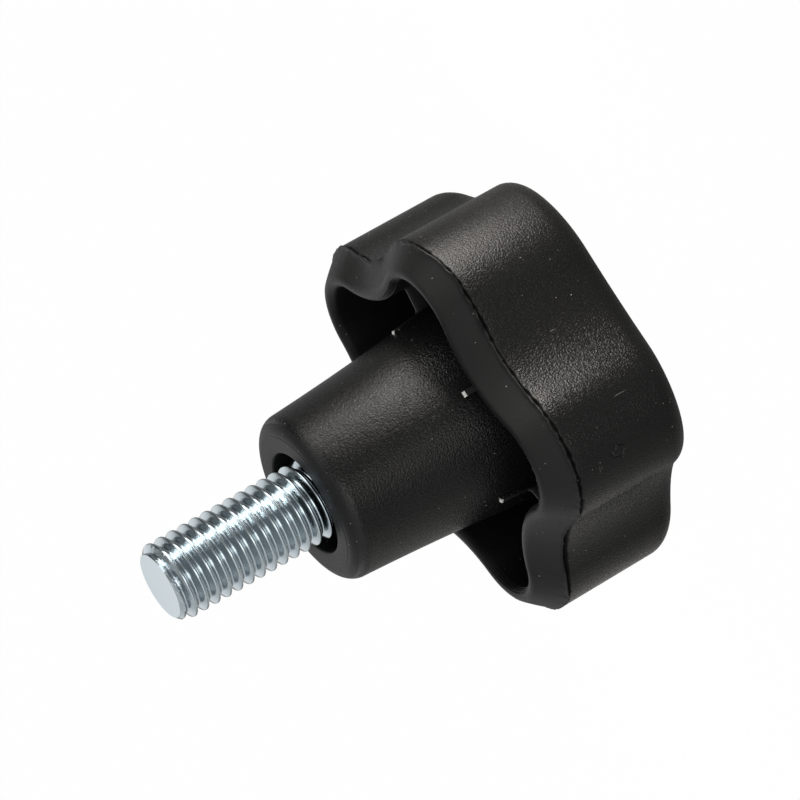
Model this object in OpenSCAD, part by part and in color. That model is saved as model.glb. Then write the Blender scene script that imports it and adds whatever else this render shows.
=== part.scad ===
// Star knob: a moulded five-lobed head on a long flared hub, with a threaded stud moulded into the hub.
// +Z runs out of the hub along the stud. The origin is on the axis, in the hub's end face, which is the
// face that clamps down on the work. The knob stands on the flat land in the middle of its crowned head.

/* [Head] */
// Diameter of the circle round the lobes
head_d = 41.4; // [39:0.2:50]
// Depth of the notches between the lobes
notch_depth = 4; // [2.7:0.1:4.5]
// Radius of a lobe's tip, seen along the axis
lobe_r = 7.7; // [7.2:0.1:8.6]
// Distance from the hub's end face back to the crest of the head's rim
rim_depth = 15; // [10:0.1:22]
// Height of the sloping band between the crest of the rim and the parting line
band_h = 2.7; // [2.2:0.1:4]
// Radius of the slight bulge of the sloping band
band_r = 22; // [6:0.5:40]
// Radius of the crest of the rim
crest_r = 0.8; // [0.5:0.05:1.2]
// Height of the grip face, from the parting line to the crowned face at the tip of a lobe
grip_h = 12.1; // [10:0.1:22]
// Draft of the grip face, in degrees
grip_draft = 0.2; // [0:0.1:1.5]
// Radius of the edge between the grip face and the crowned face
edge_r = 1.8; // [1:0.1:3]
// Radius of the crown
crown_r = 78; // [60:1:200]
// Diameter of the flat land in the middle of the crown
land_d = 20; // [10:0.5:24]

/* [Hollow] */
// Thickness of the head's wall at the tip of a lobe
lobe_wall = 3.4; // [2.8:0.1:3.8]
// Thickness of the head's wall at the bottom of a notch
notch_wall = 3.7; // [3:0.1:4.2]
// Radius of the hollow in a lobe, seen along the axis
hollow_r = 4.6; // [4:0.1:5.2]
// Thickness of the head's floor at the flat land
floor_t = 3.4; // [2:0.1:5]
// Draft of the hollow's wall, in degrees
hollow_draft = 1; // [0:0.1:2]
// Thickness of the webs between the hub and the notches
web_t = 0.9; // [0.6:0.1:2]
// Distance from the crest of the rim down to the top edge of the webs
web_drop = 3.3; // [1:0.1:8]
// How far the key that runs up the hub from each web stands out of the hub
key_proud = 0.25; // [0.1:0.05:0.6]
// Distance from the crest of the rim down to the top of the keys
key_drop = 0.3; // [0.2:0.1:0.8]

/* [Hub] */
// Diameter of the hub at its end, before the edge is rounded
hub_d = 16.9; // [15:0.1:18]
// Slope of the hub's side at its end, in degrees from the axis
hub_slope = 3; // [0:0.5:4]
// Radius of the curve in which the hub flares towards the head
hub_flare_r = 280; // [200:10:800]
// Radius of the rounded edge of the hub's end face
hub_edge_r = 1.6; // [0.5:0.1:2]
// Diameter of the recess round the stud in the hub's end face
recess_d = 10.4; // [9:0.1:11]
// Depth of the recess
recess_h = 2.4; // [0.5:0.1:4]

/* [Stud] */
// Nominal diameter of the stud's thread
stud_d = 8; // [6:0.5:8]
// Diameter of the stud's shank inside the plastic
shank_d = 7.2; // [5:0.1:7.6]
// Length of stud outside the hub
stud_l = 16; // [10:1:60]
// Size of the chamfer at the tip of the stud
tip_chamfer = 0.75; // [0.3:0.05:1.5]
// Height of the screw head that anchors the stud inside the hub
anchor_h = 5.3; // [3:0.1:6]
// Distance across the flats of the anchoring screw head
anchor_af = 13; // [10:0.5:13]
// Thickness of plastic between the anchoring screw head and the flat land
anchor_cover = 8.2; // [3:0.1:10]

/* [Hidden] */
$fn = 96;

lobes = 5;
lobe_steps = 16;     // facets round a lobe's tip
notch_steps = 6;     // facets round a notch
moulding_gap = 0.02; // clearance that keeps the moulding and the stud apart as solids
embed = 1;           // how far joined bodies reach into each other

// A star is made of tip arcs and notch arcs that touch each other. It is given by the circle round its
// tips, the circle inside its notches and the radius of its tips, and kept as
// [tip centre, tip radius, notch centre, notch radius, half the sweep of a tip].
pitch_angle = 360 / lobes;
function notch_radius(d, n, r) =
    let (c = d / 2 - r, run = c * cos(pitch_angle / 2))
    (c * c + n * n / 4 - run * n - r * r) / (2 * r - n + 2 * run);
function star(d, n, r) =
    let (
        tip_c = d / 2 - r,
        notch_r = notch_radius(d, n, r),
        notch_c = n / 2 + notch_r,
        across = notch_c * sin(pitch_angle / 2),
        ahead = notch_c * cos(pitch_angle / 2) - tip_c
    )
    [tip_c, r, notch_c, notch_r, atan2(across, ahead)];
notch_d = head_d - 2 * notch_depth;
head_star = star(head_d, notch_d, lobe_r);
hollow_star = star(head_d - 2 * lobe_wall, notch_d - 2 * notch_wall, hollow_r);

// Heights, with the hub's end face at 0
crest_z = -rim_depth;
parting_z = crest_z - band_h;
tip_face_z = parting_z - grip_h;
crown_z = tip_face_z - pow(head_d / 2, 2) / (2 * crown_r);
land_z = crown_height(land_d / 2);
floor_z = land_z + floor_t;
anchor_z = land_z + anchor_cover + anchor_h; // where the anchoring head meets the screw's shank

function crown_height(r) = crown_z + r * r / (2 * crown_r);
function turned(p, a) = [p.x * cos(a) - p.y * sin(a), p.x * sin(a) + p.y * cos(a)];
function on_arc(centre, r, a) = centre + r * [cos(a), sin(a)];
function arc(centre, r, from, to, steps) = [
    for (i = [0:steps]) on_arc(centre, r, from + (to - from) * i / steps)
];

// Points of a star, moved in by inset. The arcs' centres stay where they are, and only their radii change.
function outline(s, inset) = [
    for (k = [0:lobes - 1], i = [0:lobe_steps + notch_steps - 1])
        let (
            tip_a = s[4] * (2 * i / lobe_steps - 1),
            turn = 1 - 2 * (i - lobe_steps) / notch_steps,
            notch_a = 180 + pitch_angle / 2 + (s[4] - pitch_angle / 2) * turn,
            p = i < lobe_steps ? on_arc([s[0], 0], s[1] - inset, tip_a)
                : on_arc(turned([s[2], 0], pitch_angle / 2), s[3] + inset, notch_a)
        )
        turned(p, k * pitch_angle)
];

// The section of the rim at the tip of a lobe, as [inset, height] points. The crest is a half round, and
// the band is a slightly bulged slope from the parting line to the crest's outer side.
crest_p = [lobe_wall - crest_r, crest_z - crest_r];
part_p = [0, parting_z];
span = norm(crest_p - part_p);
along = (crest_p - part_p) / span;
reach = (band_r * band_r - pow(band_r - crest_r, 2) + span * span) / (2 * span);
band_p = part_p + reach * along + sqrt(band_r * band_r - reach * reach) * [along.y, -along.x];
band_from = atan2(crest_p.y - band_p.y, crest_p.x - band_p.x);
band_to = atan2(part_p.y - band_p.y, part_p.x - band_p.x);
rim_section = concat(
    arc(crest_p, crest_r, 0, 90, 4),
    arc(crest_p, crest_r, 90, band_from, 4),
    arc(band_p, band_r, band_from, band_to, 4)
);
edge_in = grip_h * tan(grip_draft);

// Rings of points round the head. A ring of the rim lies between the head's outline and the hollow's,
// so the section stretches where the wall is thicker.
foot = outline(hollow_star, (crest_z - crest_r - floor_z) * tan(hollow_draft));
outer = outline(head_star, 0);
inner = outline(hollow_star, 0);
function foot_ring() = [for (q = foot) [q.x, q.y, floor_z]];
function floor_ring() = [for (q = foot) let (p = q / norm(q) * recess_d / 2) [p.x, p.y, floor_z]];
function rim_ring(p) = [
    for (i = [0:len(outer) - 1]) let (q = outer[i] + (inner[i] - outer[i]) * p.x / lobe_wall) [q.x, q.y, p.y]
];
function edge_ring(a) = [
    for (q = outline(head_star, edge_in + edge_r * (1 - cos(a))))
        [q.x, q.y, crown_height(norm(q)) + edge_r * (1 - sin(a))]
];
function crown_ring(share) = [
    for (p = outline(head_star, edge_in + edge_r))
        let (q = p * (1 - share) + p / norm(p) * land_d / 2 * share) [q.x, q.y, crown_height(norm(q))]
];

// A closed skin through rings of points, from the hollow's floor over the crest to the outside
module skin(rings) {
    n = len(rings[0]);
    last = len(rings) - 1;
    polyhedron(
        points = [for (r = rings) each r],
        faces = concat(
            [[for (i = [n - 1:-1:0]) i]],
            [for (j = [0:last - 1], i = [0:n - 1])
                let (a = j * n + i, b = j * n + (i + 1) % n) each [[a, b, a + n], [b, b + n, a + n]]],
            [[for (i = [0:n - 1]) last * n + i]]
        )
    );
}

// The head: a lobed cup with a rounded rim, a drafted grip face and a crowned far face
module cup() {
    skin(concat(
        [floor_ring(), foot_ring()],
        [for (p = rim_section) rim_ring(p)],
        [for (a = [0:18:90]) edge_ring(a)],
        [for (k = [1:3]) crown_ring(k / 3)]
    ));
}

// The hub's side flares in a large arc, so its radius grows with the depth below the end face
function hub_radius(depth) =
    hub_d / 2 + hub_flare_r * (cos(hub_slope) - cos(hub_slope + asin(depth / hub_flare_r)));

module hub() {
    base = -floor_z + embed;
    edge_p = [hub_radius(hub_edge_r) - hub_edge_r, -hub_edge_r];
    rotate_extrude()
        polygon(concat(
            [[0, -base], [0, 0]],
            arc(edge_p, hub_edge_r, 90, 0, 6),
            [for (k = [1:6]) let (d = base * k / 6) if (d > hub_edge_r) [hub_radius(d), -d]]
        ));
}

// One web per notch, with a key up the hub above it
module webs() {
    web_top = crest_z - web_drop;
    key_top = crest_z - key_drop;
    base = floor_z - embed;
    web_out = (notch_d - notch_wall) / 2;
    key_out = hub_radius(-key_top) + key_proud;
    for (k = [0:lobes - 1])
        rotate((k + 0.5) * pitch_angle) {
            translate([0, -web_t / 2, base]) cube([web_out, web_t, web_top - base]);
            translate([0, -web_t / 2, base]) cube([key_out, web_t, key_top - base]);
        }
}

// The stud: a screw with its hexagon head and shank buried in the hub. The thread starts at the floor of
// the recess, and its profile is not cut.
module screw(gap) {
    r = stud_d / 2 + gap;
    thread_z = -recess_h + moulding_gap - gap;
    translate([0, 0, anchor_z]) cylinder(h = thread_z - anchor_z, d = shank_d + 2 * gap);
    translate([0, 0, thread_z]) cylinder(h = stud_l - tip_chamfer - thread_z, r = r);
    translate([0, 0, stud_l - tip_chamfer]) cylinder(h = tip_chamfer, r1 = r, r2 = r - tip_chamfer);
    translate([0, 0, anchor_z - anchor_h - gap])
        cylinder(h = anchor_h + 2 * gap, r = (anchor_af / 2 + gap) / cos(30), $fn = 6);
}

module star_head() {
    color("#1c1c1d")
        difference() {
            union() {
                cup();
                hub();
                webs();
            }
            translate([0, 0, -recess_h]) cylinder(h = recess_h + embed, d = recess_d);
            screw(moulding_gap);
        }
}

module threaded_stud() {
    color("#c3cbd2")
        screw(0);
}

star_head();
threaded_stud();
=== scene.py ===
# %% [markdown]
# # A moulded star knob with a threaded stud
# The knob is a hand-tightened fastener: a five-lobed head of black plastic on a long hub, and a plated
# steel screw whose head is buried in the plastic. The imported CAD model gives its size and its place.
# This lesson adds what the eye looks for: soft moulded edges, the flash at the parting line, the spark
# eroded grain, and a rolled thread. It starts with the frame, whose box every later shape must keep to.

# %% Load the frame
import math

import bpy
import bmesh
import numpy as np
from mathutils import Matrix, Vector


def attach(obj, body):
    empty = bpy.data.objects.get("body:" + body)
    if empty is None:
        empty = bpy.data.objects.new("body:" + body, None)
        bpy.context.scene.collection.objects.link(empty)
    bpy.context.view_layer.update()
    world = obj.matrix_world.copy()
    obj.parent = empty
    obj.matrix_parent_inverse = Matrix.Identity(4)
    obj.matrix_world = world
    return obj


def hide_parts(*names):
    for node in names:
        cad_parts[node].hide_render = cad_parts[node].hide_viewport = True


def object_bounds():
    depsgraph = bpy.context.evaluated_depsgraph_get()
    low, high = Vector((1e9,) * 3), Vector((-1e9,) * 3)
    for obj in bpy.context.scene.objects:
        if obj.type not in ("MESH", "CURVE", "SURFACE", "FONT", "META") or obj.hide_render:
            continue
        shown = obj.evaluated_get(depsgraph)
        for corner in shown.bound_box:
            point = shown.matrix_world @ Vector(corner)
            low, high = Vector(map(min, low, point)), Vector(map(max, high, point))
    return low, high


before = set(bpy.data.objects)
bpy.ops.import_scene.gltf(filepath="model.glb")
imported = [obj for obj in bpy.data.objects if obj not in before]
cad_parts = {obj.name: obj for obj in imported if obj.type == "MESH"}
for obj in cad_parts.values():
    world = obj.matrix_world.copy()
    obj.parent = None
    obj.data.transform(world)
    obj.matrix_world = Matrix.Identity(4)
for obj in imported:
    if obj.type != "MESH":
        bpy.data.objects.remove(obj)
cad_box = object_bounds()
scene = bpy.context.scene
MM = 0.001
TAU = 2 * math.pi
print("CAD box in mm:", [[round(c / MM, 2) for c in corner] for corner in cad_box])

# %% [markdown]
# ## The star outline
# Seen along the axis, the head is a five-lobed star. A curve tool or a displaced cylinder would only come
# near it. A drawing of such a knob gives it as arcs that touch: one round each lobe and one in each notch.
# Two tangent arcs are fixed by three sizes, so the same small function serves the outside and the hollow.

# %% Sizes in mm, and the star of arcs
LOBES = 5
PITCH = TAU / LOBES
HEAD_D, NOTCH_D, LOBE_R = 41.4, 33.4, 7.7
LOBE_WALL, NOTCH_WALL, HOLLOW_R = 3.4, 3.7, 4.6
SKIN = 0.06  # the outside is set back by this much, so that the flash can stand out of it


def star(tips, notches, tip_r):
    """Tangent arcs: (tip centre, tip radius, notch centre, notch radius, half sweep of a tip)."""
    c, run = tips / 2 - tip_r, (tips / 2 - tip_r) * math.cos(PITCH / 2)
    notch_r = (c * c + notches ** 2 / 4 - run * notches - tip_r ** 2) / (2 * tip_r - notches + 2 * run)
    notch_c = notches / 2 + notch_r
    sweep = math.atan2(notch_c * math.sin(PITCH / 2), notch_c * math.cos(PITCH / 2) - c)
    return c, tip_r, notch_c, notch_r, sweep


OUTSIDE = star(HEAD_D - 2 * SKIN, NOTCH_D - 2 * SKIN, LOBE_R - SKIN)
HOLLOW = star(HEAD_D - 2 * LOBE_WALL, NOTCH_D - 2 * NOTCH_WALL, HOLLOW_R)
print("notch radius outside and inside:", round(OUTSIDE[3], 2), round(HOLLOW[3], 2), "mm")

# %% [markdown]
# ## Columns of points
# The moulding will be one skin of rings, and each ring has the same columns of points. A column belongs
# to a tip arc or to a notch arc. Behind the middle of each notch stands a thin web, so nine columns there
# keep a fixed distance in mm from that middle. A web is then no separate body that has to be joined: it
# is the floor of the hollow, lifted at its columns.

# %% Columns round the head
TIP_COLUMNS, NOTCH_COLUMNS = 72, 40
WEB_SIDE = (0.6, 0.42, 0.28, 0.14)  # distances from the web's middle: outside, foot, shoulder and top
WEB_ZONE = 0.2  # share of a notch's arc that is left to the web's columns
TIP, NOTCH, WEB = 0, 1, 2
columns = []  # (lobe, kind, place): place is a share of half the arc, or for a web a distance in mm
for lobe in range(LOBES):
    columns += [(lobe, TIP, t) for t in np.linspace(-1, 1, TIP_COLUMNS, endpoint=False)]
    columns += [(lobe, NOTCH, t) for t in np.linspace(1, WEB_ZONE, NOTCH_COLUMNS // 2)]
    columns += [(lobe, WEB, s) for s in [-w for w in WEB_SIDE] + [0.0] + list(WEB_SIDE[::-1])]
    columns += [(lobe, NOTCH, t) for t in np.linspace(-WEB_ZONE, -1, NOTCH_COLUMNS // 2, endpoint=False)]
LOBE_OF, KIND, PLACE = (np.array(c, float) for c in zip(*columns))
# LIFT goes from 0 on the hollow's floor to 1 on top of a web
LIFT = np.where(KIND == WEB, np.interp(np.abs(PLACE), WEB_SIDE[::-1], [1.0, 0.97, 0.0, 0.0]), 0.0)
print(len(columns), "columns, and", int((LIFT > 0).sum()), "of them are lifted into webs")


# %% A ring on a star, and a ring on a circle
def turned(x, y, angle):
    return np.stack([x * np.cos(angle) - y * np.sin(angle), x * np.sin(angle) + y * np.cos(angle)], -1)


def outline(shape, inset=0.0):
    """One point per column on a star that is moved in by inset, which may differ from column to column."""
    tip_c, tip_r, notch_c, notch_r, sweep = shape
    inset = np.broadcast_to(np.asarray(inset, float), PLACE.shape)
    tip_a = PLACE * sweep
    r = notch_r + inset
    notch_a = np.where(KIND == WEB, -np.arcsin(np.clip(PLACE / r, -1, 1)), PLACE * (sweep - PITCH / 2))
    tip = turned(tip_c + (tip_r - inset) * np.cos(tip_a), (tip_r - inset) * np.sin(tip_a), LOBE_OF * PITCH)
    notch = turned(notch_c - r * np.cos(notch_a), -r * np.sin(notch_a), (LOBE_OF + 0.5) * PITCH)
    return np.where((KIND == TIP)[:, None], tip, notch)


WALL_AZIMUTH = np.arctan2(*outline(HOLLOW).T[::-1])
WEB_INNER_R = 9.5  # inside this radius, in mm, a web's columns run straight to the axis


def circle(radius):
    """One point per column on a circle. The columns of a web keep their distance from its middle."""
    radius = np.broadcast_to(np.asarray(radius, float), PLACE.shape)
    beside = (LOBE_OF + 0.5) * PITCH + np.arcsin(np.clip(PLACE / np.maximum(radius, WEB_INNER_R), -1, 1))
    azimuth = np.where(KIND == WEB, beside, WALL_AZIMUTH)
    return np.stack([radius * np.cos(azimuth), radius * np.sin(azimuth)], -1)


print("the star is", round(np.ptp(outline(OUTSIDE)[:, 0]), 2), "mm wide along X")

# %% [markdown]
# ## Irregular lines
# A mould is dressed by hand, and where its halves don't quite meet, plastic creeps out. Such lines could
# be drawn point by point. Here two small functions of the place round the head are enough: smooth bumps
# where something particular happens, and a sum of sines with seeded phases, which looks irregular and
# still comes out the same on every run.

# %% Place round the head, bumps and ripples
TIP_SHARE = 0.342  # share of a pitch from the middle of a tip to the end of its arc
NOTCH_SHARE = 0.158  # and from there to the middle of the notch
PITCH_LENGTH = 22  # length of a pitch round the outside, in mm
SECTOR = LOBE_OF + np.select(
    [KIND == TIP, KIND == NOTCH], [PLACE * TIP_SHARE, 0.5 - PLACE * NOTCH_SHARE], 0.5 + PLACE / PITCH_LENGTH
)  # place round the head, counted in lobes: 0 at the first tip, 0.5 in the first notch


def bumps(at, peaks):
    """A sum of smooth bumps (place, half width, height) round the head."""
    total = np.zeros_like(at)
    for place, width, height in peaks:
        away = np.abs((at - place + LOBES / 2) % LOBES - LOBES / 2)
        total += height * np.exp(-((away / width) ** 4))
    return total


def ripple(at, seed, waves, size):
    """A repeatable irregular line: a few sines round the head with seeded phases."""
    phases = np.random.default_rng(seed).uniform(0, TAU, len(waves))
    return size * sum(np.sin(TAU * w * at / LOBES + p) for w, p in zip(waves, phases)) / len(waves)


print("places run from", round(SECTOR.min(), 2), "to", round(SECTOR.max(), 2), "lobes")

# %% [markdown]
# ## Where the mould halves meet
# The parting line runs round the grip at the foot of the sloping band. It wanders, and under it lies a
# groove of uneven width, over which the flash stands: a thin fin of plastic. A bump map can't change an
# outline, so all of this is real geometry. The fin has to stay inside the CAD model's box, which is the
# size of the real knob.

# %% Height of the parting line
CREST_Z, CREST_R, BAND_H, BAND_R = -15.0, 0.8, 2.7, 22.0
PARTING_Z = CREST_Z - BAND_H
parting = PARTING_Z + bumps(SECTOR, [(0.3, 0.42, 0.72), (0.5, 0.06, 0.35), (4.74, 0.06, 0.1)])
parting += ripple(SECTOR, 3, (17, 41, 73), 0.05)
print("parting line between", round(parting.min(), 2), "and", round(parting.max(), 2), "mm")

# %% The groove under it
GAP = [  # (place, half the width of the groove in mm)
    (0.0, 0.13), (0.16, 0.14), (0.26, 0.05), (0.48, 0.04), (0.56, 0.12), (0.82, 0.14), (1.0, 0.09),
    (1.3, 0.12), (1.7, 0.03), (1.8, 0.14), (2.2, 0.17), (2.45, 0.05), (2.6, 0.14), (3.1, 0.08),
    (3.2, 0.12), (3.3, 0.2), (3.4, 0.3), (3.56, 0.3), (3.64, 0.24), (3.69, 0.06), (3.74, 0.06),
    (3.79, 0.2), (4.1, 0.2), (4.32, 0.15), (4.5, 0.14), (4.62, 0.2), (4.78, 0.17), (4.86, 0.1),
    (4.93, 0.07), (5.0, 0.13),
]
calm = 1 - 0.75 * bumps(SECTOR, [(3.45, 0.3, 1.0)])  # where the groove is widest, its edges are even
gap = np.interp(SECTOR % LOBES, *zip(*GAP)) * (1 + calm * ripple(SECTOR, 11, (37, 83, 131), 0.55))
gap = np.clip(gap, 0.02, None)
groove = 0.02 + 2.0 * gap  # its depth: a wide groove is a deep one
print("groove", round(2 * gap.min(), 2), "to", round(2 * gap.max(), 2), "mm wide")

# %% The flash over it
CLEAR = 0.005  # what stays free between the flash and the box, in mm
lip = 0.02 + 0.06 * np.clip(ripple(SECTOR, 5, (13, 29, 61, 97, 139), 2.5), 0, 1)
lip += bumps(SECTOR, [
    (4.625, 0.022, 0.3), (4.70, 0.014, 0.26), (4.80, 0.03, 0.2), (4.84, 0.008, 0.3), (4.755, 0.01, 0.3),
    (3.2, 0.02, 0.3), (0.13, 0.02, 0.12), (0.8, 0.03, 0.1), (1.6, 0.02, 0.2), (2.4, 0.02, 0.15),
])
low, high = (np.array([c / MM for c in corner[:2]]) for corner in cad_box)
edge = outline(OUTSIDE)
room = np.minimum(edge - low, high - edge).min(axis=1)  # how far a point may move out of the outline
lip = np.minimum(lip, np.maximum(room - CLEAR, 0))
print("flash up to", round(lip.max(), 2), "mm")

# %% [markdown]
# ## The moulded head
# The head is one injection moulding: hub, hollow, rim, grip and crowned far face are a single skin of
# plastic. Solids that are joined leave creases that a moulding doesn't have. So the skin is built as
# rings of points, from the recess round the stud, over the hub and through the hollow, round the rim and
# down the grip. Each ring is an outline with a height, so fillets, draft and crest come out exact.

# %% Heights and radii of the head, in mm
FACE_Z, EDGE_R, CROWN_R, LAND_R = -29.8, 1.8, 78.0, 10.0  # the far face at a tip, its edge, crown and land
FLOOR_Z, FILLET, HOLLOW_DRAFT = -28.5, 0.4, math.radians(1)
WEB_Z, KEY_Z, KEY_OUT = -18.3, -15.3, 0.25  # the tops of webs and keys, and how far a key stands out
HUB_R, HUB_SLOPE, HUB_EDGE, FLARE_R = 8.45, math.radians(3), 1.6, 280.0
RECESS_R, RECESS_Z, RECESS_FILLET, RECESS_EDGE = 5.2, -2.4, 0.3, 0.2
CROWN_Z = FACE_Z - (HEAD_D / 2) ** 2 / (2 * CROWN_R)
crest_side_z = CREST_Z - CREST_R


def hub_radius(z):
    """The hub's side flares towards the head in one large arc."""
    return HUB_R + FLARE_R * (math.cos(HUB_SLOPE) - np.cos(HUB_SLOPE + np.arcsin(-z / FLARE_R)))


def crown_z(xy):
    return CROWN_Z + (xy ** 2).sum(-1) / (2 * CROWN_R)


def arc(cx, cz, r, start, stop, steps):
    """Points (radius, height) on an arc between two angles in degrees."""
    a = np.radians(np.linspace(start, stop, steps + 1))
    return list(zip(cx + r * np.cos(a), cz + r * np.sin(a)))


print("hub radius:", round(hub_radius(0), 2), "mm at the face,", round(hub_radius(FLOOR_Z), 2), "at the foot")

# %% [markdown]
# ## Recess, end face and hub
# A recess keeps the plastic clear of the thread's first turns, so that the end face seats flat. Its
# first ring lies inside the stud and stays open there, unseen. On the face a faint step shows where a
# core pin met the mould. The face came off polished steel, and the grain starts on the rounded edge. Five
# keys stand a little out of the hub, one over each web.

# %% The list of rings, recess and end face
# the last two numbers are painted light: a lighter grey that paints a sheen along the keys, and a white that
# paints a highlight on their top ends
SATIN, GRAINED, PAINTED_SHEEN, PAINTED_GLINT = 0, 1, 2, 3
rows = []  # one ring of points each
finishes = []  # the finish of the faces that follow the ring


def ring(xy, z, finish):
    rows.append(np.column_stack([xy, np.broadcast_to(z, len(xy))]))
    finishes.append(finish)


corner_r, corner_z = RECESS_R - RECESS_FILLET, RECESS_Z + RECESS_FILLET
for r, z in [(3.0, RECESS_Z), (corner_r, RECESS_Z)] + arc(corner_r, corner_z, RECESS_FILLET, -90, 0, 4)[1:]:
    ring(circle(r), z, SATIN)
for r, z in [(RECESS_R, -0.8)] + arc(RECESS_R + RECESS_EDGE, -RECESS_EDGE, RECESS_EDGE, 180, 90, 4):
    ring(circle(r), z, SATIN)
PIN_STEP = 0.03  # the face outside the core pin lies lower by this
for r, z in [(6.2, 0), (6.93, 0), (6.97, -0.035), (7.0, -PIN_STEP)]:
    ring(circle(r), z, SATIN)
print(len(rows), "rings over the recess and the end face")

# %% The hub's side and its keys
GRAIN_FROM = HUB_R - 0.35  # the edge is polished up to this radius
for r, z in arc(hub_radius(-HUB_EDGE) - HUB_EDGE, -HUB_EDGE, HUB_EDGE, 86, 0, 12):
    ring(circle(r), min(z, -PIN_STEP), SATIN if r < GRAIN_FROM else GRAINED)
for z in np.linspace(-HUB_EDGE, KEY_Z + 0.06, 16)[1:]:
    ring(circle(hub_radius(z)), z, GRAINED)
foot_z = FLOOR_Z + LIFT * (WEB_Z - FLOOR_Z)
key_row = len(rows) - 1  # the row of faces that is the top end of the keys
KEY_RINGS = 16
for t in np.linspace(0, 1, KEY_RINGS):
    z = KEY_Z + t * (foot_z + FILLET - KEY_Z)
    ring(circle(hub_radius(z) + KEY_OUT * LIFT), z, GRAINED)
print(len(rows), "rings down to the foot of the hub")

# %% [markdown]
# ## The hollow
# The hollow saves plastic and keeps the walls even. Its floor lies in deep shade, but light still finds
# the webs, so they get their fillets and the wall gets its draft of one degree. The rings of the floor
# run straight from the circle of the hub's foot to the star of the wall.

# %% Floor of the hollow with the webs, and the hollow's wall
hub_foot = hub_radius(foot_z) + KEY_OUT * LIFT
for dr, dz in arc(FILLET, FILLET, FILLET, 180, 270, 4)[1:]:
    ring(circle(hub_foot + dr), foot_z + dz, SATIN)
drafted = (crest_side_z - FLOOR_Z) * math.tan(HOLLOW_DRAFT) * (1 - LIFT)
start, stop = circle(hub_foot + FILLET), outline(HOLLOW, FILLET + drafted)
for t in np.linspace(0, 1, 7)[1:]:
    ring(start + t * (stop - start), foot_z, SATIN)
for dr, dz in arc(FILLET, FILLET, FILLET, -90, 0, 4)[1:]:
    ring(outline(HOLLOW, 2 * FILLET - dr + drafted), foot_z + dz, SATIN)
for t in np.linspace(0, 1, 14)[1:]:
    z = foot_z + FILLET + t * (crest_side_z - foot_z - FILLET)
    ring(outline(HOLLOW, (crest_side_z - z) * math.tan(HOLLOW_DRAFT)), z, SATIN)
print(len(rows), "rings up to the crest")

# %% [markdown]
# ## The rim
# In section the rim is a half-round crest that runs into a slightly bulged band. The band's arc touches
# the crest and ends at the parting line. Such a section could be swept round the star, but a sweep keeps
# its width, and this wall is thicker in the notches. So the section is stretched between the outline of
# the outside and that of the hollow.

# %% Section of the rim
outside, inside = outline(OUTSIDE), outline(HOLLOW)
crest_x = LOBE_WALL - CREST_R
span = math.hypot(crest_x, BAND_H - CREST_R)
reach = (BAND_R ** 2 - (BAND_R - CREST_R) ** 2 + span ** 2) / (2 * span)
along = np.array([crest_x, BAND_H - CREST_R]) / span
centre = reach * along + math.sqrt(BAND_R ** 2 - reach ** 2) * np.array([along[1], -along[0]])
band_x, band_z = centre[0], centre[1] + CREST_Z - BAND_H
from_a = math.degrees(math.atan2(crest_side_z - band_z, crest_x - band_x))
to_a = math.degrees(math.atan2(PARTING_Z - band_z, -band_x)) % 360
print("the band runs from", round(from_a, 1), "to", round(to_a, 1), "degrees")

# %% [markdown]
# ## Crest, band and groove
# The mould's core was polished by hand. In two places that left worn steps on the crest, which catch the
# light as fine lines, and in one place the rim's inner edge is ragged. The band follows the wandering
# parting line, and its foot rolls over into the flash.

# %% The crest and its worn steps
worn = 0.11 * bumps(SECTOR, [(0.36, 0.13, 1.0), (2.92, 0.26, 0.8)])  # depth of the steps in mm
torn = np.clip(ripple(SECTOR, 21, (61, 97, 139, 193), 3.0) - 0.2, 0, 1)
ragged = bumps(SECTOR, [(3.96, 0.22, 0.34)]) * torn
crest_rings = [(0, 0)]  # (angle in degrees, 1 on the floor of a worn step)
for middle in (14.5, 34.5, 54.5):
    crest_rings += [(middle - 6.5, 0), (middle - 2.5, 1), (middle + 2.5, 1), (middle + 6.5, 0)]
crest_rings += [(a, 0) for a in (72, 82, 92, 104, 116, 128, from_a)]
for a, cut in crest_rings:
    cos, sin = math.cos(math.radians(a)), math.sin(math.radians(a))
    r = CREST_R - cut * worn + ragged * max(cos, 0) ** 2
    x, z = crest_x + r * cos, crest_side_z + r * sin
    down = np.clip((CREST_Z - z) / BAND_H, 0, 1)
    follow = np.where(x < crest_x, down ** 2 * (parting - PARTING_Z), 0)
    ring(outside + (inside - outside) * x[:, None] / LOBE_WALL, z + follow, SATIN)
print("worn steps up to", round(worn.max(), 2), "mm deep")

# %% Band, flash and groove
FLASH_FOOT = 0.12  # thickness of the flash where it leaves the band, in mm
for x, z in arc(band_x, band_z, BAND_R, from_a, to_a, 12)[1:]:
    down = np.clip((CREST_Z - z) / BAND_H, 0, 1)
    follow = down ** 2 * (parting - PARTING_Z) + down ** 12 * (gap + FLASH_FOOT)
    ring(outside + (inside - outside) * x / LOBE_WALL, z + follow, SATIN)
for out, deep, widths, up in [  # shares of flash and groove depth, half widths up, and mm up
    (0.3, 0, 1, 0.09), (1, 0, 1, 0.05), (0.9, 0, 1, 0.0), (0, 0.3, 0.9, 0),
    (0, 0.95, 0.6, 0), (0, 1, -0.5, 0), (0, 0.15, -0.95, 0), (0, 0.02, -1.05, -0.03),
]:
    ring(outline(OUTSIDE, groove * deep - lip * out), parting + gap * widths + up, SATIN)
print(len(rows), "rings down to the groove")

# %% [markdown]
# ## Grip, edge and crown
# The grip is nearly straight, with a fifth of a degree of draft. Its far edge is rounded, and the far
# face is crowned: a slight dome that ends in a flat land, on which the knob can stand.

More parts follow.
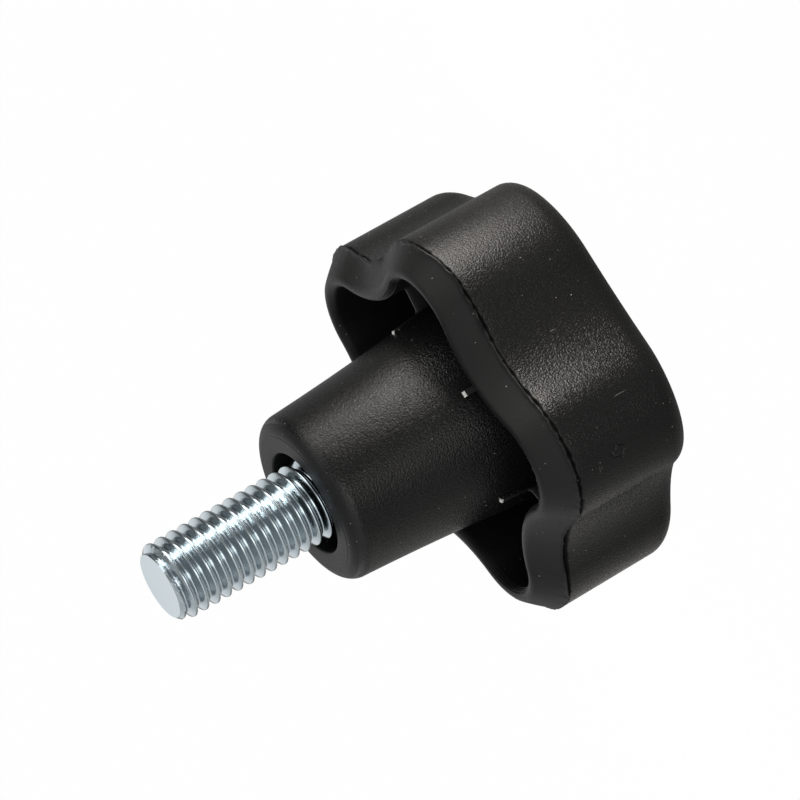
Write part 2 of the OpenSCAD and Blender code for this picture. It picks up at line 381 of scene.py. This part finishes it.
# %% The far half of the head
grip_in = (PARTING_Z - FACE_Z) * math.tan(math.radians(0.2))
grip_z = parting - gap * 1.1 - 0.08  # just under the groove
edge_z = crown_z(outline(OUTSIDE, grip_in)) + EDGE_R
for t in np.linspace(0, 1, 12):
    ring(outline(OUTSIDE, grip_in * t), grip_z + t * (edge_z - grip_z), GRAINED)
for a in np.radians(np.linspace(0, 90, 13)[1:]):
    xy = outline(OUTSIDE, grip_in + EDGE_R * (1 - math.cos(a)))
    ring(xy, crown_z(xy) + EDGE_R * (1 - math.sin(a)), GRAINED)
face = outline(OUTSIDE, grip_in + EDGE_R)
land = face / np.linalg.norm(face, axis=1)[:, None] * LAND_R
for t in np.linspace(0, 1, 9)[1:]:
    xy = face + t * (land - face)
    ring(xy, crown_z(xy), GRAINED)
for share in (0.97, 0.6, 0.2, 0.0):
    ring(xy * share, crown_z(xy), SATIN)
print(len(rows), "rings of", len(columns), "points")

# %% [markdown]
# ## From rings to a mesh
# Faces join each ring to the next, and the last ring, whose points all lie on the axis, closes the far
# face. The keys' top ends are painted white as a highlight, and their faces a lighter grey as a sheen.


# %% Two mesh helpers
def rings_to_mesh(name, rings):
    """A mesh from closed rings of points, in mm. Each ring has as many points as the next one."""
    rings = np.asarray(rings, float)
    count, around = rings.shape[:2]
    i, j = np.meshgrid(np.arange(count - 1), np.arange(around), indexing="ij")
    a, b = i * around + j, i * around + (j + 1) % around
    quads = np.stack([a, a + around, b + around, b], -1).reshape(-1, 4)
    mesh = bpy.data.meshes.new(name)
    mesh.from_pydata((rings.reshape(-1, 3) * MM).tolist(), [], quads.tolist())
    return mesh


def finish_skin(mesh, angle):
    """Joins doubled points, orients the faces, and shades them smooth except at edges over the angle."""
    bm = bmesh.new()
    bm.from_mesh(mesh)
    bmesh.ops.remove_doubles(bm, verts=bm.verts, dist=0.002 * MM)
    bmesh.ops.recalc_face_normals(bm, faces=bm.faces)
    bm.to_mesh(mesh)
    bm.free()
    mesh.shade_smooth()
    mesh.set_sharp_from_angle(angle=math.radians(angle))
    print(mesh.name, "has", len(mesh.polygons), "faces")


# %% The head as an object
mesh = rings_to_mesh("star_head_skin", rows)
material_of_face = np.repeat(finishes[:-1], len(columns)).astype(np.int32).reshape(-1, len(columns))
on_key = np.minimum(LIFT, np.roll(LIFT, -1)) > 0.9
# a white that paints a highlight on the keys' top ends, and a lighter grey that paints a sheen down their
# faces
material_of_face[key_row:key_row + 2, on_key] = PAINTED_GLINT
material_of_face[key_row + 2:key_row + KEY_RINGS, on_key] = PAINTED_SHEEN
mesh.polygons.foreach_set("material_index", material_of_face.ravel())
finish_skin(mesh, angle=38)
head = bpy.data.objects.new("knob_moulding", mesh)
scene.collection.objects.link(head)

# %% [markdown]
# ## The rolled thread
# The stud is an M8 screw, 1.25 mm pitch. Threads like this are rolled: the dies press the groove and
# the metal flows up into the crest, which is round and narrower than a cut one. A screw modifier could
# turn the profile, but a helical grid also gives the thread's end for nothing: along the helix the radius
# stays the same, each turn meets the next one after a full pitch, and the chamfer's cone caps the radius.

# %% The profile over one pitch, in mm
P, CREST, ROOT = 1.25, 3.95, 3.24  # pitch, and the radius over the crests and in the grooves
ROOT_ROUND, CREST_FLAT = 0.18, 0.03  # radius of the groove's floor, and half the width of the crest's flat
CREST_ROUND = math.sqrt(3) * (P / 2 - CREST_FLAT) - (CREST - ROOT) - ROOT_ROUND  # for flanks at 60 degrees
bend = np.radians([0, 15, 30, 45, 60])
crest_a = np.r_[0, CREST_FLAT + CREST_ROUND * np.sin(bend)]
crest_r = np.r_[CREST, CREST - CREST_ROUND * (1 - np.cos(bend))]
root_a = (P / 2 - ROOT_ROUND * np.sin(bend))[::-1]
root_r = (ROOT + ROOT_ROUND * (1 - np.cos(bend)))[::-1]
middle_a, middle_r = (crest_a[-1] + root_a[0]) / 2, (crest_r[-1] + root_r[0]) / 2
down_a, down_r = np.r_[crest_a, middle_a, root_a], np.r_[crest_r, middle_r, root_r]
pitch_a = np.r_[down_a, P - down_a[-2:0:-1]]  # heights over one pitch, from one crest to just before the next
pitch_r = np.r_[down_r, down_r[-2:0:-1]]
PER_PITCH = len(pitch_a)
print("crest rounded to", round(CREST_ROUND, 3), "mm, with", PER_PITCH, "points to a pitch")

# %% The grid along the helix
TIP_Z, TIP_R, STUD_FOOT = 16.0, 3.26, -2.7
PER_TURN = 144
FIRST_CREST, CREST_SIDE = 14.82, -44.5  # height of the last whole crest, at this azimuth in degrees
turns = int((TIP_Z - STUD_FOOT) / P) + 6
step, angle = np.meshgrid(np.arange(turns * PER_PITCH), np.arange(PER_TURN), indexing="ij")
start = FIRST_CREST - P * (turns - 3) - P * CREST_SIDE / 360
z = start + step // PER_PITCH * P + pitch_a[step % PER_PITCH] + P * (angle / PER_TURN - 0.5)
r = np.minimum(pitch_r[step % PER_PITCH], np.maximum(TIP_R + TIP_Z - z, TIP_R))
print(turns, "turns of", PER_TURN, "points")

# %% The crushed chamfer and the ends
CRUSHED, CRUSH = 1.1, 0.018  # length that the dies crush below the tip, and half the depth of the dents
dents = np.random.default_rng(8).uniform(-1, 1, (2 * PER_PITCH, PER_TURN + 1))
dents = dents[step % (2 * PER_PITCH), angle]
r = r - np.where((z > TIP_Z - CRUSHED) & (z < TIP_Z - 0.05), CRUSH * (1 + dents), 0)
r = np.where(z < STUD_FOOT, ROOT, np.where(z > TIP_Z, TIP_R, r))
z = np.clip(z, STUD_FOOT, TIP_Z)
theta = angle * TAU / PER_TURN - math.pi
points = np.stack([r * np.cos(theta), r * np.sin(theta), z], -1)
print("thread from", z.min(), "to", z.max(), "mm")

# %% The stud as an object
index = np.arange(points[..., 0].size).reshape(points.shape[:2])
wrapped = np.hstack([index[:-PER_PITCH], index[PER_PITCH:, :1]])  # the end of a turn meets the next one
quads = np.stack([wrapped[:-1, :-1], wrapped[:-1, 1:], wrapped[1:, 1:], wrapped[1:, :-1]], -1)
verts = (points.reshape(-1, 3) * MM).tolist()
faces = quads.reshape(-1, 4).tolist()
around = np.arange(PER_TURN)
for rings in [[(TIP_R, TIP_Z), (2.9, TIP_Z - 0.01), (1.4, TIP_Z - 0.03)], [(ROOT, STUD_FOOT)]]:
    for radius, height in rings:  # the tip's face is dished by a few hundredths
        first = len(verts)
        verts += [(x * MM, y * MM, height * MM) for x, y in turned(radius, 0.0, around * TAU / PER_TURN)]
        if radius < rings[0][0]:
            here, after = first + around, first + (around + 1) % PER_TURN
            faces += np.stack([here - PER_TURN, after - PER_TURN, after, here], -1).tolist()
    faces.append(list(range(first, first + PER_TURN)))
stud_mesh = bpy.data.meshes.new("stud_skin")
stud_mesh.from_pydata(verts, [], faces)
finish_skin(stud_mesh, angle=40)
stud = bpy.data.objects.new("rolled_stud", stud_mesh)
scene.collection.objects.link(stud)

# %% [markdown]
# ## Colours and nodes
# Colours are written as the hex values that a paint chart or a colour picker gives. Those are sRGB
# values, and shaders work in linear light, so one function converts them. A second function adds a
# shader node with its settings and its links, because that is all that a node needs.


# %% Colour and node helpers
def linear(hex_colour):
    """A hex colour such as #1c1c1d as linear RGBA."""
    channels = [int(hex_colour[i:i + 2], 16) / 255 for i in (1, 3, 5)]
    return tuple(c / 12.92 if c <= 0.04045 else ((c + 0.055) / 1.055) ** 2.4 for c in channels) + (1.0,)


def add(tree, kind, settings=None, **sockets):
    """Adds a node. settings are its properties; a socket is given a value, or a node's output to link.
    A socket goes by its name, with _ for a space, or by its number, as in _0."""
    node = tree.nodes.new(kind)
    for name, value in (settings or {}).items():
        setattr(node, name, value)
    for name, value in sockets.items():
        socket = node.inputs[int(name[1:])] if name[0] == "_" else node.inputs[name.replace("_", " ")]
        if isinstance(value, bpy.types.NodeSocket):
            tree.links.new(value, socket)
        else:
            socket.default_value = value
    return node


def principled(name, colour, roughness, **more):
    material = bpy.data.materials.new(name)
    material.use_nodes = True
    shader = material.node_tree.nodes["Principled BSDF"]
    for socket, value in {"Base Color": colour, "Roughness": roughness, **more}.items():
        shader.inputs[socket].default_value = value
    return material, material.node_tree, shader


print("mid grey in linear light:", round(linear("#808080")[0], 3))

# %% [markdown]
# ## Black glass-filled nylon
# Knobs like this are moulded from black glass-filled nylon. Carbon black makes its body neutral and very
# dark, so nearly all that the eye gets from it is shine. The cavity's spark eroded grain is copied onto
# the grip and the hub, and breaks that shine up into fine points. A bump alone would look like leather,
# so the gloss differs from spot to spot as well. The rim and the hollow came off polished steel: the
# same plastic with an even, satin shine.

# %% Grain and gloss of the moulded plastic
NYLON = "#141414"
SPOT, SINK = 1 / 9, 50 / 9  # sizes in mm of the gloss spots, drawn coarser than real, and of sink marks


def moulded(name, roughness, grain, grain_depth, speckling):
    """Moulded black nylon. grain is the size of its texture in mm, grain_depth its height in mm, and
    speckling the share by which the roughness differs from spot to spot."""
    material, tree, shader = principled(
        name, linear(NYLON), roughness, **{"IOR": 1.5, "Specular IOR Level": 0.27}
    )
    place = add(tree, "ShaderNodeTexCoord").outputs["Object"]
    texture = add(tree, "ShaderNodeTexNoise", Vector=place, Scale=1000 / grain, Detail=1.0, Roughness=0.5)
    swell = add(tree, "ShaderNodeTexNoise", Vector=place, Scale=1000 / SINK, Detail=1.0)
    bump = add(tree, "ShaderNodeBump", Height=texture.outputs["Fac"], Strength=1.0, Distance=grain_depth * MM)
    wave = add(tree, "ShaderNodeBump", Height=swell.outputs["Fac"], Strength=1.0, Distance=0.03 * MM,
               Normal=bump.outputs["Normal"])
    speckle = add(tree, "ShaderNodeTexNoise", Vector=place, Scale=1000 / SPOT, Detail=0.0)
    gloss = add(tree, "ShaderNodeMapRange", Value=speckle.outputs["Fac"], From_Min=0.3, From_Max=0.7,
                To_Min=roughness * (1 - speckling), To_Max=roughness * (1 + speckling))
    tree.links.new(gloss.outputs[0], shader.inputs["Roughness"])
    return material, tree, shader, place, wave.outputs["Normal"]


print("noise scales:", round(1000 / SPOT), "for the spots and", round(1000 / SINK), "for the sink marks")

# %% [markdown]
# ## Dust and marks
# A knob that has been handled carries pale dust, a few fine scratches, and the dark ring of a sticky
# drop. A painted texture would need an image and a map of the surface. Here a mark is a small ellipsoid
# in space: what the surface cuts out of it is tinted, and raised or sunk. Dust is a loose lattice of tiny
# balls, of which only the few that the surface cuts are seen.

# %% The mask of a mark
DRIFT, DRIFT_SIZE = 0.9, 2 / 3  # how far the outline of a ring wanders, and over what length, in mm
HOLE_EDGE = 0.3  # softness of a ring's hole, as a share of its reach


def mark_mask(tree, place, centre, reach, inner, outer, is_ring):
    """1 inside an ellipsoid and 0 outside, with a soft edge between the shares inner and outer of its
    reach. A ring has a hole in its middle and a wandering outline."""
    if is_ring:
        drift = add(tree, "ShaderNodeTexNoise", Vector=place, Scale=1000 / DRIFT_SIZE, Detail=1.0)
        place = add(tree, "ShaderNodeVectorMath", {"operation": "MULTIPLY_ADD"}, _0=drift.outputs["Color"],
                    _1=[DRIFT * MM] * 3, _2=place).outputs[0]
        centre = [c + DRIFT / 2 for c in centre]
    shift = add(tree, "ShaderNodeVectorMath", {"operation": "SUBTRACT"}, _0=place,
                _1=[c * MM for c in centre])
    ratio = add(tree, "ShaderNodeVectorMath", {"operation": "DIVIDE"}, _0=shift.outputs[0],
                _1=[r * MM for r in reach])
    away = add(tree, "ShaderNodeVectorMath", {"operation": "LENGTH"}, _0=ratio.outputs[0]).outputs["Value"]
    soft = {"interpolation_type": "SMOOTHSTEP"}
    mask = add(tree, "ShaderNodeMapRange", soft, Value=away, From_Min=outer, From_Max=inner).outputs[0]
    if is_ring:
        hole = add(tree, "ShaderNodeMapRange", soft, Value=away, From_Min=inner - HOLE_EDGE, From_Max=inner)
        mask = add(tree, "ShaderNodeMath", {"operation": "MULTIPLY"}, _0=mask, _1=hole.outputs[0]).outputs[0]
    return mask


print("the outline of a ring wanders by", DRIFT, "mm")

# %% Dust and marks over a plastic
RING, SCRATCH = (0.95, 1.3, True), (0.1, 1.0, False)  # inner edge, outer edge, and whether it is a ring
MARKS = [  # (centre in mm, reach in mm, kind, colour, height in mm)
    ((6.05, -19.71, -22.3), (0.66, 0.66, 0.66), RING, "#020202", -0.14),
    ((9.87, -17.235, -24.9), (0.055, 0.055, 0.95), SCRATCH, "#5f5c57", 0.02),
    ((5.3, -19.89, -20.1), (0.5, 0.5, 0.07), SCRATCH, "#4c4a47", 0.02),
    ((13.52, -9.67, -23.3), (0.06, 0.06, 0.4), SCRATCH, "#5a5752", 0.02),
]
DUST_APART = 10 / 9  # from speck to speck, in mm: a speck is a tenth of that across


def handled(plastic, marks=()):
    """Lays dust and marks over a moulded plastic, in its colour and in its relief."""
    material, tree, shader, place, normal = plastic
    cells = add(tree, "ShaderNodeTexVoronoi", Vector=place, Scale=1000 / DUST_APART, Randomness=1.0)
    dust = add(tree, "ShaderNodeMapRange", Value=cells.outputs["Distance"], From_Min=0.06, From_Max=0.03)
    layer = {"data_type": "RGBA"}
    tint = add(tree, "ShaderNodeMix", layer, _0=dust.outputs[0], _6=linear(NYLON), _7=linear("#9a968f"))
    for centre, reach, kind, colour, height in marks:
        mask = mark_mask(tree, place, centre, reach, *kind)
        tint = add(tree, "ShaderNodeMix", layer, _0=mask, _6=tint.outputs[2], _7=linear(colour))
        normal = add(tree, "ShaderNodeBump", Height=mask, Strength=1.0, Distance=height * MM,
                     Normal=normal).outputs["Normal"]
    lump = add(tree, "ShaderNodeBump", Height=dust.outputs[0], Strength=1.0, Distance=0.03 * MM,
               Normal=normal)
    tree.links.new(tint.outputs[2], shader.inputs["Base Color"])
    tree.links.new(lump.outputs["Normal"], shader.inputs["Normal"])
    return material


print(len(MARKS), "marks, and dust every", round(DUST_APART, 2), "mm")

# %% [markdown]
# ## The head's four materials
# They come in the order of their numbers. Satin nylon spreads the light evenly, and grained nylon
# glints. Both grains are drawn as coarse as they need to be to show. The keys' faces are painted a
# lighter grey as a sheen, and their top ends white as a highlight.

# %% Plastic materials
satin_nylon = handled(
    moulded("satin black nylon", 0.5, grain=0.25, grain_depth=0.02, speckling=0.1)
)
grained_nylon = handled(
    moulded("spark eroded black nylon", 0.23, grain=0.17, grain_depth=0.055, speckling=0.45), MARKS
)
# a lighter grey that paints a sheen along the keys' faces
painted_sheen_nylon = principled("grey nylon as painted sheen", linear("#262625"), 0.35)[0]
# a white that paints a highlight on the keys' top ends
painted_glint_nylon = principled("white nylon as painted glint", linear("#e4e4e0"), 0.5)[0]
for material in (satin_nylon, grained_nylon, painted_sheen_nylon, painted_glint_nylon):
    head.data.materials.append(material)
print("head:", [material.name for material in head.data.materials])

# %% [markdown]
# ## Bright zinc on rolled steel
# The stud is zinc plated with a blue passivate. The layer follows the rolled steel, so it is a bright
# metal with a slight haze, and it takes nearly all of its look from what it mirrors. A little roughness
# gives the haze, and a fine bump breaks up the mirror image as the plating's unevenness does.

# %% Zinc material
UNEVEN = 1 / 6  # size of the plating's unevenness in mm, drawn coarser than real
zinc, tree, shader = principled("blue passivated zinc plate", linear("#c1cdd3"), 0.1, Metallic=1.0)
place = add(tree, "ShaderNodeTexCoord").outputs["Object"]
mottle = add(tree, "ShaderNodeTexNoise", Vector=place, Scale=1000 / UNEVEN, Detail=3.0)
bump = add(tree, "ShaderNodeBump", Height=mottle.outputs["Fac"], Strength=1.0, Distance=0.012 * MM)
tree.links.new(bump.outputs["Normal"], shader.inputs["Normal"])
stud.data.materials.append(zinc)
print("stud:", zinc.name)

# %% [markdown]
# ## Joining the pieces to the frame
# Each piece rides on the one body and stands for its CAD node.

# %% Ride, replace
for piece, node, slot in [(head, "star_head", "black_plastic"), (stud, "threaded_stud", "zinc_plated_steel")]:
    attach(piece, "root")
    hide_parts(node)
    print(piece.name, "stands for", node)

# %% [markdown]
# ## A pale table
# The table is a plain disc under the flat land. To the camera it is almost wholly a white glow, so the
# knob stands on clean white. To the knob it is nearly all pale grey paint, which takes the knob's shadow
# and the bright patches that are laid on it below. A table that glowed in the mirror image as well would
# wash out the black plastic.

# %% Table
FLOOR_TOP = cad_box[0][2]
SEEN_GLOW, MIRRORED_GLOW = 0.99, 0.05  # share of glow for the camera, and for what mirrors the table
bpy.ops.mesh.primitive_circle_add(vertices=96, radius=2.5, fill_type="NGON", location=(0, 0, FLOOR_TOP))
floor = bpy.context.object
floor.name = "table"
pale = bpy.data.materials.new("pale table")
pale.use_nodes = True
tree = pale.node_tree
tree.nodes.clear()
path = add(tree, "ShaderNodeLightPath").outputs
mirrored = add(tree, "ShaderNodeMath", {"operation": "ADD"}, _0=path["Is Glossy Ray"],
               _1=path["Is Transmission Ray"])
seen = add(tree, "ShaderNodeMath", {"operation": "MULTIPLY"}, _0=path["Is Camera Ray"], _1=SEEN_GLOW)
share = add(tree, "ShaderNodeMath", {"operation": "MULTIPLY_ADD"}, _0=mirrored.outputs[0],
            _1=MIRRORED_GLOW, _2=seen.outputs[0])
paint = add(tree, "ShaderNodeBsdfDiffuse", Color=linear("#9c9c9c"))
glow = add(tree, "ShaderNodeEmission", Color=(1.0, 1.0, 1.0, 1.0), Strength=1.0)
mixed = add(tree, "ShaderNodeMixShader", _0=share.outputs[0], _1=paint.outputs[0], _2=glow.outputs[0])
add(tree, "ShaderNodeOutputMaterial", Surface=mixed.outputs[0])
floor.data.materials.append(pale)
print("table top at", round(FLOOR_TOP / MM, 2), "mm")

# %% [markdown]
# ## A room in four belts
# Bright metal shows the room it stands in, so the sky is a simple studio: soft bright panels and darker
# gaps between them, all in plain grey. It has four belts, from the table upwards, and each fades into
# the next. An image of a room would do as well, but a few greys to a belt can be moved one by one until
# the stripes on the thread fall where they should.

# %% Brightness round the sky, as (azimuth in degrees, colour)
BELTS = {
    "low": [
        (-180, "#afafaf"), (-156, "#aaaaaa"), (-132, "#b8b8b8"), (-110, "#c8c8c8"), (-88, "#cacaca"),
        (-76, "#ededed"), (-60, "#f4f4f4"), (-48, "#dcdcdc"), (-38, "#989898"), (-27, "#686868"),
        (-16, "#7c7c7c"), (-7, "#c1c1c1"), (3, "#fbfbfb"), (31, "#ffffff"), (38, "#cfcfcf"),
        (45, "#808080"), (54, "#444444"), (64, "#303030"), (78, "#3a3a3a"), (88, "#787878"),
        (99, "#b3b3b3"), (112, "#cacaca"), (130, "#cfcfcf"), (152, "#c4c4c4"), (168, "#b3b3b3"),
    ],
    "lower middle": [
        (-180, "#a5a5a5"), (-156, "#a0a0a0"), (-132, "#acacac"), (-110, "#b7b7b7"), (-90, "#bebebe"),
        (-76, "#e5e5e5"), (-60, "#e9e9e9"), (-48, "#cacaca"), (-38, "#8c8c8c"), (-27, "#787878"),
        (-14, "#989898"), (-5, "#cacaca"), (6, "#f8f8f8"), (32, "#ffffff"), (40, "#d4d4d4"),
        (48, "#989898"), (58, "#4c4c4c"), (68, "#404040"), (82, "#404040"), (96, "#686868"),
        (104, "#b3b3b3"), (118, "#c6c6c6"), (140, "#bcbcbc"), (160, "#a5a5a5"),
    ],
    "upper middle": [
        (-180, "#818181"), (-140, "#989898"), (-110, "#9a9a9a"), (-80, "#9e9e9e"), (-60, "#9e9e9e"),
        (-40, "#7c7c7c"), (-25, "#818181"), (-10, "#8c8c8c"), (2, "#a5a5a5"), (12, "#e1e1e1"),
        (22, "#ffffff"), (45, "#fbfbfb"), (55, "#bcbcbc"), (65, "#787878"), (90, "#707070"),
        (120, "#989898"), (155, "#989898"),
    ],
    "top": [
        (-180, "#787878"), (-120, "#818181"), (-60, "#818181"), (0, "#818181"), (40, "#898989"),
        (100, "#8c8c8c"), (150, "#8c8c8c"),
    ],
}
BELT_EDGES = [(0.38, 0.52), (0.74, 0.82), (0.93, 0.97)]  # sines of the elevations where two belts meet
print("greys in each belt:", {name: len(stops) for name, stops in BELTS.items()})

# %% The sky
SKY_STRENGTH = 1.6
world = bpy.data.worlds.new("studio")
scene.world = world
world.use_nodes = True
tree = world.node_tree
tree.nodes.clear()
way = add(tree, "ShaderNodeTexCoord").outputs["Generated"]
axes = add(tree, "ShaderNodeSeparateXYZ", Vector=way).outputs
turn = add(tree, "ShaderNodeMath", {"operation": "ARCTAN2"}, _0=axes["Y"], _1=axes["X"])
turn = add(tree, "ShaderNodeMapRange", Value=turn.outputs[0], From_Min=-math.pi, From_Max=math.pi)
sky = None
for stops, edge in zip(BELTS.values(), [None] + BELT_EDGES):
    ramp = add(tree, "ShaderNodeValToRGB", Fac=turn.outputs[0])
    elements = ramp.color_ramp.elements
    while len(elements) < len(stops):
        elements.new(0.5)
    for element, (azimuth, colour) in zip(elements, stops):
        element.position, element.color = azimuth / 360 + 0.5, linear(colour)
    if sky is None:
        sky = ramp.outputs["Color"]
        continue
    share = add(tree, "ShaderNodeMapRange", {"interpolation_type": "SMOOTHSTEP"}, Value=axes["Z"],
                From_Min=edge[0], From_Max=edge[1])
    sky = add(tree, "ShaderNodeMix", {"data_type": "RGBA"}, _0=share.outputs[0], _6=sky,
              _7=ramp.outputs["Color"]).outputs[2]
light = add(tree, "ShaderNodeBackground", Color=sky, Strength=SKY_STRENGTH)
add(tree, "ShaderNodeOutputWorld", Surface=light.outputs[0])
print("sky of", len(BELTS), "belts at strength", SKY_STRENGTH)

# %% [markdown]
# ## Strip lights
# A black moulding is drawn by its highlights, and a highlight is the mirror image of something bright.
# So a strip stands where the hub, a lobe, a notch or the stud mirrors it. A lamp's power says little
# about how bright it looks, so the power is worked out from that brightness, the radiance. A narrow
# spread gathers the same power in fewer directions, and the sum allows for it.


# %% Area lamps
def direction(azimuth, elevation):
    """A unit vector from two angles in degrees."""
    a, e = math.radians(azimuth), math.radians(elevation)
    return Vector((math.cos(e) * math.cos(a), math.cos(e) * math.sin(a), math.sin(e)))


def softbox(name, azimuth, elevation, distance, size, radiance, spread, target):
    """An area lamp that looks at a target in mm from a direction in degrees. Its size is in mm."""
    way = direction(azimuth, elevation)
    light = bpy.data.lights.new(name, "AREA")
    light.shape, light.size, light.size_y = "RECTANGLE", size[0] * MM, size[1] * MM
    light.spread = math.radians(spread)
    half = light.spread / 2
    gain = math.tan(half) / (math.tan(half) - half)
    light.energy = radiance / gain * math.pi * light.size * light.size_y
    light.color = linear("#fffaf2")[:3]  # a touch warm
    lamp = bpy.data.objects.new(name, light)
    lamp.location = (Vector(target) + way * distance) * MM
    lamp.rotation_euler = way.to_track_quat("Z", "Y").to_euler()
    lamp.visible_camera = False
    scene.collection.objects.link(lamp)
    print(name, round(light.energy * 1000, 2), "mW")
    return lamp


for strip in [  # (name, azimuth, elevation, distance, size, radiance, spread, target)
    ("key strip", 22, 0, 120, (64, 90), 3.5, 60, (0, 0, 14)),
    ("hub strip", 20, 0, 38, (15, 9), 1.2, 70, (0, 0, -12)),
    ("lobe strip", 11, 0, 47, (50, 12), 17.0, 84, (0, 0, -25.5)),
    ("notch strip", 8, 0, 36, (12, 14), 10.0, 44, (11.5, -12.5, -24)),
    ("stud strip", 26, -27, 68, (52, 34), 6.0, 34, (0, 0, 8)),
    ("side strip", -60, 0, 120, (50, 80), 2.0, 60, (0, 0, 10)),
]:
    softbox(*strip)

# %% [markdown]
# ## Bright patches on the table
# The lower parts of the knob mirror the table, so their highlights are patches of lit table. A wash is a
# lamp that points straight down beside the knob. It is hidden from mirror images, so that the plastic and
# the thread show its patch and not the lamp.

# %% Washes
for name, azimuth, out, height, size, radiance, spread in [
    ("near wash", -171, 38, 40, (24, 24), 9.5, 90),
    ("far wash", -145, 130, 70, (110, 110), 6.5, 90),
    ("front wash", -95, 58, 50, (50, 50), 2.5, 90),
    ("lobe wash", 9, 41, 20, (26, 17), 105.0, 44),
]:
    x, y, _ = direction(azimuth, 0) * out
    wash = softbox(name, 0, 90, height, size, radiance, spread, (x, y, FLOOR_TOP / MM))
    wash.visible_glossy = False

# %% [markdown]
# ## The camera
# A long lens looks down at the knob from about 20 degrees and is rolled on its axis, so that the stud
# points to the lower left of the view.

# %% Camera
AZIMUTH, ELEVATION, ROLL = -44.504, 20.106, math.radians(119.672)
DISTANCE, LENS = 478.06, 232.11
look_at = Vector((3.9466, 1.6317, -12.5630)) * MM
back = direction(AZIMUTH, ELEVATION)
level = Vector((-math.sin(math.radians(AZIMUTH)), math.cos(math.radians(AZIMUTH)), 0))
up = math.cos(ROLL) * back.cross(level) + math.sin(ROLL) * level
right = up.cross(back)
camera = bpy.data.objects.new("camera", bpy.data.cameras.new("camera"))
camera.data.lens = LENS
camera.data.clip_start, camera.data.clip_end = 0.05, 20.0
aim = Matrix((right, up, back)).transposed().to_4x4()
camera.matrix_world = Matrix.Translation(look_at + back * DISTANCE * MM) @ aim
scene.collection.objects.link(camera)
scene.camera = camera
scene.view_settings.view_transform = "Standard"
print("camera at", [round(c, 3) for c in camera.matrix_world.translation], "m")
